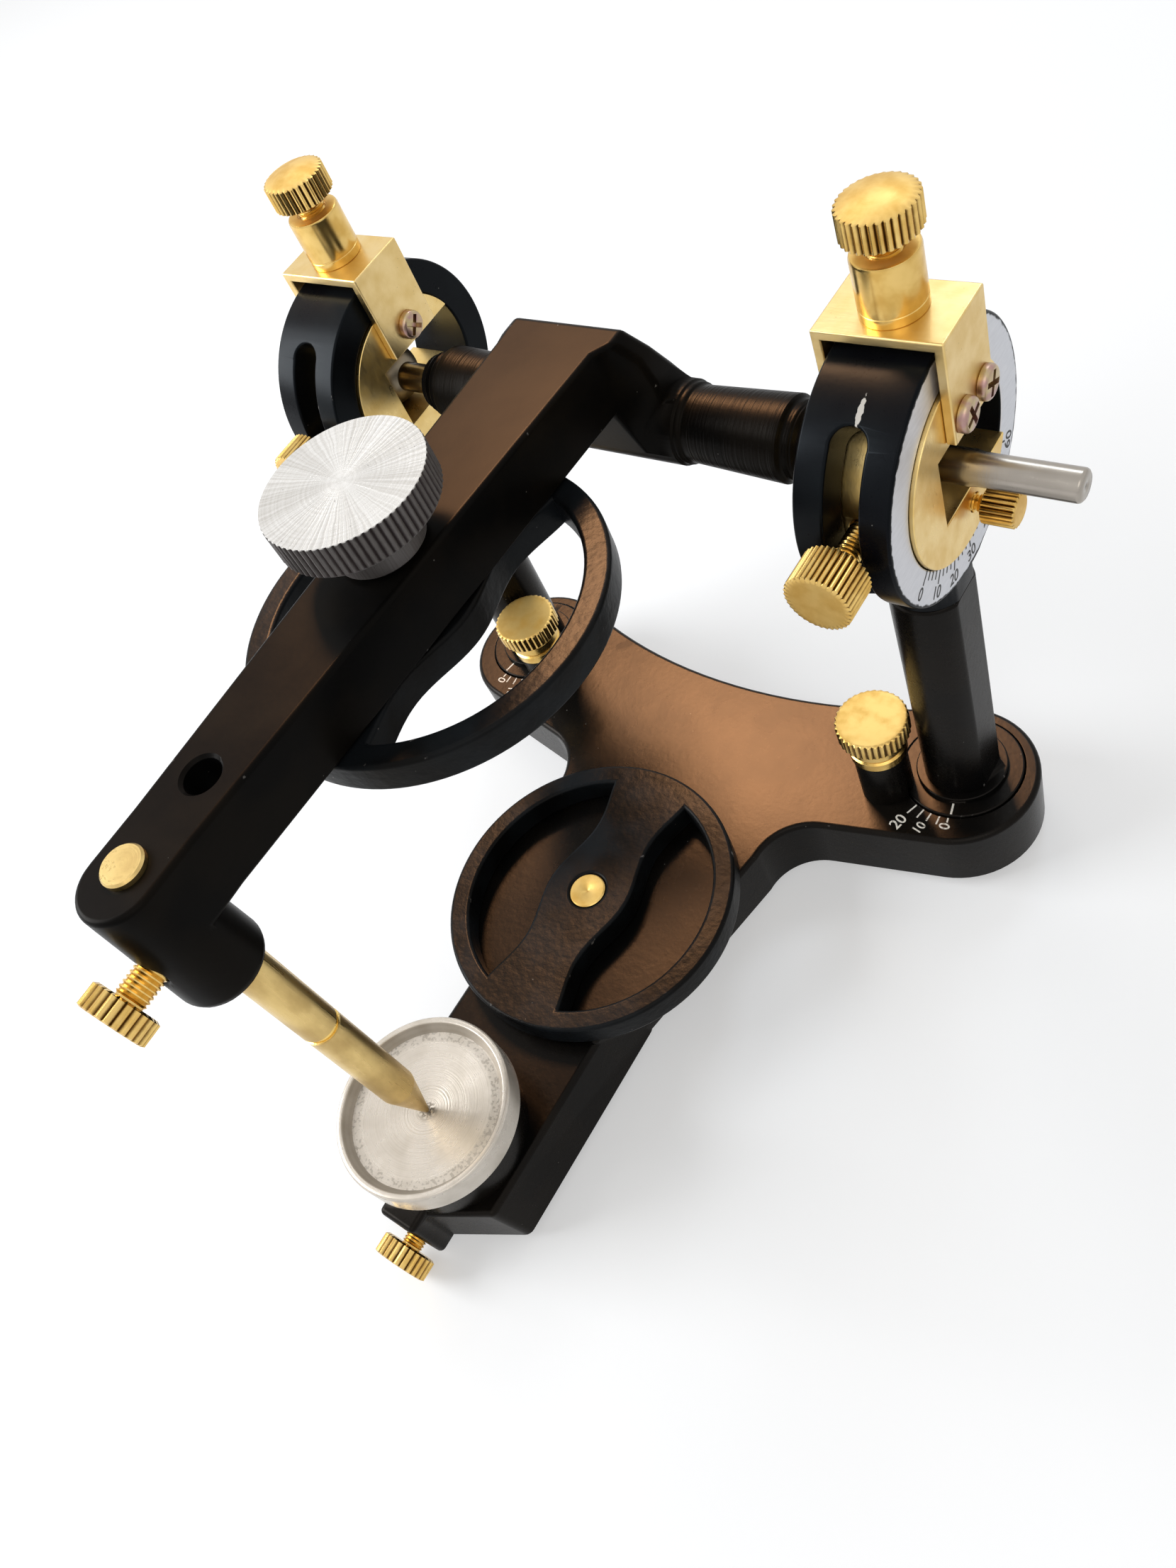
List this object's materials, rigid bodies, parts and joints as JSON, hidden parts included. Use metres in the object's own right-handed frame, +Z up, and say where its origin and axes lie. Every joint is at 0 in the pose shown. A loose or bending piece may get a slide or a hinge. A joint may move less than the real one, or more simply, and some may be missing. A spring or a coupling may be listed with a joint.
{
  "type": "dental articulator",
  "caption": "Dental articulator: black cast base and hinged upper bar, brass condylar guides on posts, round mounting plates, brass incisal pin and aluminium incisal table.",
  "frame": {"origin": "on the bench under the lower mounting plate's axis, which is also the middle of the bounding box's bottom to within 1 mm", "axes": "+X to the right seen from the incisal pin's side, +Y to the rear towards the condylar axis, +Z up"},
  "size_m": [0.1624, 0.1573, 0.1408],
  "materials": {
    "black_enamel": "satin black enamel on a casting",
    "plate_enamel": "satin black enamel on a flat plate",
    "rubber": "matte grey rubber",
    "polished_brass": "polished, turned",
    "brushed_brass": "lightly brushed",
    "dull_brass": "worn and scratched",
    "zinc_screws": "yellow zinc plating",
    "turned_aluminium": "turned",
    "polished_steel": "polished",
    "plain_steel": "plain turned"
  },
  "bodies": {
    "lower_frame": {"lower_frame": "black_enamel", "base_feet": "rubber", "lower_mounting_plate": "plate_enamel", "lateral_lock_bushes": "black_enamel"},
    "upper_member": {"upper_frame": "black_enamel", "condylar_shaft": "polished_steel", "condylar_ball_left": "polished_steel", "condylar_ball_right": "polished_steel", "upper_mounting_plate": "plate_enamel"},
    "post_left": {"condylar_post_left": "black_enamel", "ring_housing_left": "black_enamel", "post_retainer_left": "plain_steel"},
    "guide_left": {"guide_drum_left": "brushed_brass", "yoke_left": "brushed_brass", "yoke_bush_left": "polished_brass", "yoke_screws_left": "zinc_screws"},
    "lateral_lock_screw_left": {"lateral_lock_screw_left": "polished_brass"},
    "inclination_lock_screw_left": {"inclination_lock_screw_left": "polished_brass"},
    "centric_lock_screw_left": {"centric_lock_screw_left": "polished_brass"},
    "guide_thumb_screw_left": {"guide_thumb_screw_left": "polished_brass"},
    "post_right": {"condylar_post_right": "black_enamel", "ring_housing_right": "black_enamel", "post_retainer_right": "plain_steel"},
    "guide_right": {"guide_drum_right": "brushed_brass", "yoke_right": "brushed_brass", "yoke_bush_right": "polished_brass", "yoke_screws_right": "zinc_screws"},
    "lateral_lock_screw_right": {"lateral_lock_screw_right": "polished_brass"},
    "inclination_lock_screw_right": {"inclination_lock_screw_right": "polished_brass"},
    "centric_lock_screw_right": {"centric_lock_screw_right": "polished_brass"},
    "guide_thumb_screw_right": {"guide_thumb_screw_right": "polished_brass"},
    "lower_mounting_screw": {"lower_mounting_screw": "polished_brass"},
    "incisal_table": {"incisal_table": "turned_aluminium"},
    "table_clamp_screw": {"table_clamp_screw": "polished_brass"},
    "mounting_knob": {"mounting_knob": "turned_aluminium"},
    "incisal_pin": {"incisal_pin": "dull_brass"},
    "pin_clamp_screw": {"pin_clamp_screw": "polished_brass"}
  },
  "joints": [
    {"name": "upper_open", "type": "hinge", "parent": "lower_frame", "child": "upper_member", "pos_m": [0, 0.0565, 0.0994], "axis": [-1, 0, 0], "range_deg": [0, 100]},
    {"name": "lateral_left", "type": "hinge", "parent": "lower_frame", "child": "post_left", "pos_m": [-0.055, 0.0565, 0.017], "axis": [0, 0, 1], "range_deg": [0, 20]},
    {"name": "inclination_left", "type": "hinge", "parent": "post_left", "child": "guide_left", "pos_m": [-0.055, 0.0565, 0.0994], "axis": [1, 0, 0], "range_deg": [-20, 30]},
    {"name": "lateral_lock_left", "type": "hinge", "parent": "lower_frame", "child": "lateral_lock_screw_left", "pos_m": [-0.043, 0.0478, 0.0372], "axis": [0, 0, 1], "range_deg": [0, 360]},
    {"name": "inclination_lock_left", "type": "hinge", "parent": "guide_left", "child": "inclination_lock_screw_left", "pos_m": [-0.055, 0.0593, 0.1377], "axis": [0, 0, 1], "range_deg": [0, 360]},
    {"name": "centric_lock_left", "type": "hinge", "parent": "guide_left", "child": "centric_lock_screw_left", "pos_m": [-0.055, 0.0302, 0.0994], "axis": [0, -1, 0], "range_deg": [0, 360]},
    {"name": "guide_thumb_left", "type": "hinge", "parent": "guide_left", "child": "guide_thumb_screw_left", "pos_m": [-0.0674, 0.0592, 0.0895], "axis": [-1, 0, 0], "range_deg": [0, 360]},
    {"name": "lateral_right", "type": "hinge", "parent": "lower_frame", "child": "post_right", "pos_m": [0.055, 0.0565, 0.017], "axis": [0, 0, 1], "range_deg": [-20, 0]},
    {"name": "inclination_right", "type": "hinge", "parent": "post_right", "child": "guide_right", "pos_m": [0.055, 0.0565, 0.0994], "axis": [1, 0, 0], "range_deg": [-20, 30]},
    {"name": "lateral_lock_right", "type": "hinge", "parent": "lower_frame", "child": "lateral_lock_screw_right", "pos_m": [0.043, 0.0478, 0.0372], "axis": [0, 0, 1], "range_deg": [0, 360]},
    {"name": "inclination_lock_right", "type": "hinge", "parent": "guide_right", "child": "inclination_lock_screw_right", "pos_m": [0.055, 0.0593, 0.1377], "axis": [0, 0, 1], "range_deg": [0, 360]},
    {"name": "centric_lock_right", "type": "hinge", "parent": "guide_right", "child": "centric_lock_screw_right", "pos_m": [0.055, 0.0302, 0.0994], "axis": [0, -1, 0], "range_deg": [0, 360]},
    {"name": "guide_thumb_right", "type": "hinge", "parent": "guide_right", "child": "guide_thumb_screw_right", "pos_m": [0.0674, 0.0592, 0.0895], "axis": [1, 0, 0], "range_deg": [0, 360]},
    {"name": "lower_screw_turn", "type": "hinge", "parent": "lower_frame", "child": "lower_mounting_screw", "pos_m": [0, 0, 0.0065], "axis": [0, 0, -1], "range_deg": [0, 360]},
    {"name": "table_turn", "type": "hinge", "parent": "lower_frame", "child": "incisal_table", "pos_m": [0, -0.0537, 0.0251], "axis": [0, 0, 1], "continuous": true},
    {"name": "table_clamp_turn", "type": "hinge", "parent": "lower_frame", "child": "table_clamp_screw", "pos_m": [0, -0.0775, 0.0068], "axis": [0, -1, 0], "range_deg": [0, 360]},
    {"name": "knob_turn", "type": "hinge", "parent": "upper_member", "child": "mounting_knob", "pos_m": [0, 0.0044, 0.1298], "axis": [0, 0, 1], "range_deg": [0, 360]},
    {"name": "pin_slide", "type": "slide", "parent": "upper_member", "child": "incisal_pin", "axis": [0, 0, 1], "range_m": [0, 0.015]},
    {"name": "pin_clamp_turn", "type": "hinge", "parent": "upper_member", "child": "pin_clamp_screw", "pos_m": [0, -0.069, 0.105], "axis": [0, -1, 0], "range_deg": [0, 360]}
  ]
}
